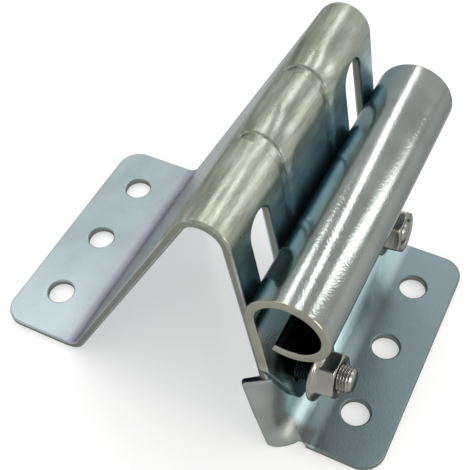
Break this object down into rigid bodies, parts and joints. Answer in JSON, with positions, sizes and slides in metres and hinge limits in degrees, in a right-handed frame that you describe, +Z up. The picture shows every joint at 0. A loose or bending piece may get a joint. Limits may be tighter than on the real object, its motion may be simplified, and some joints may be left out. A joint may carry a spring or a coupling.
{
  "type": "garage door roller bracket",
  "caption": "Folded steel bracket with drilled flanges and a pressed ridge, carrying a curled roller tube that slides in slots and is clamped by bolts with flange nuts.",
  "frame": {"origin": "underside of the left flange, at the centre of its row of screw holes", "axes": "+X across the bracket from the left flange to the right one, +Y along the ridge to the rear, +Z up, away from the door"},
  "size_m": [0.0909, 0.0623, 0.0623],
  "materials": {
    "bracket": "bright zinc plate",
    "roller_carrier": "bright zinc plate",
    "fasteners": "bright zinc plate"
  },
  "bodies": {
    "bracket_body": {"bracket": "bracket"},
    "carrier_body": {"roller_carrier": "roller_carrier", "front_bolt": "fasteners", "rear_bolt": "fasteners", "front_nut": "fasteners", "rear_nut": "fasteners"}
  },
  "joints": [
    {"name": "carrier_slide", "type": "slide", "parent": "bracket_body", "child": "carrier_body", "axis": [-0.153, 0, 0.9882], "range_m": [0, 0.037]}
  ]
}
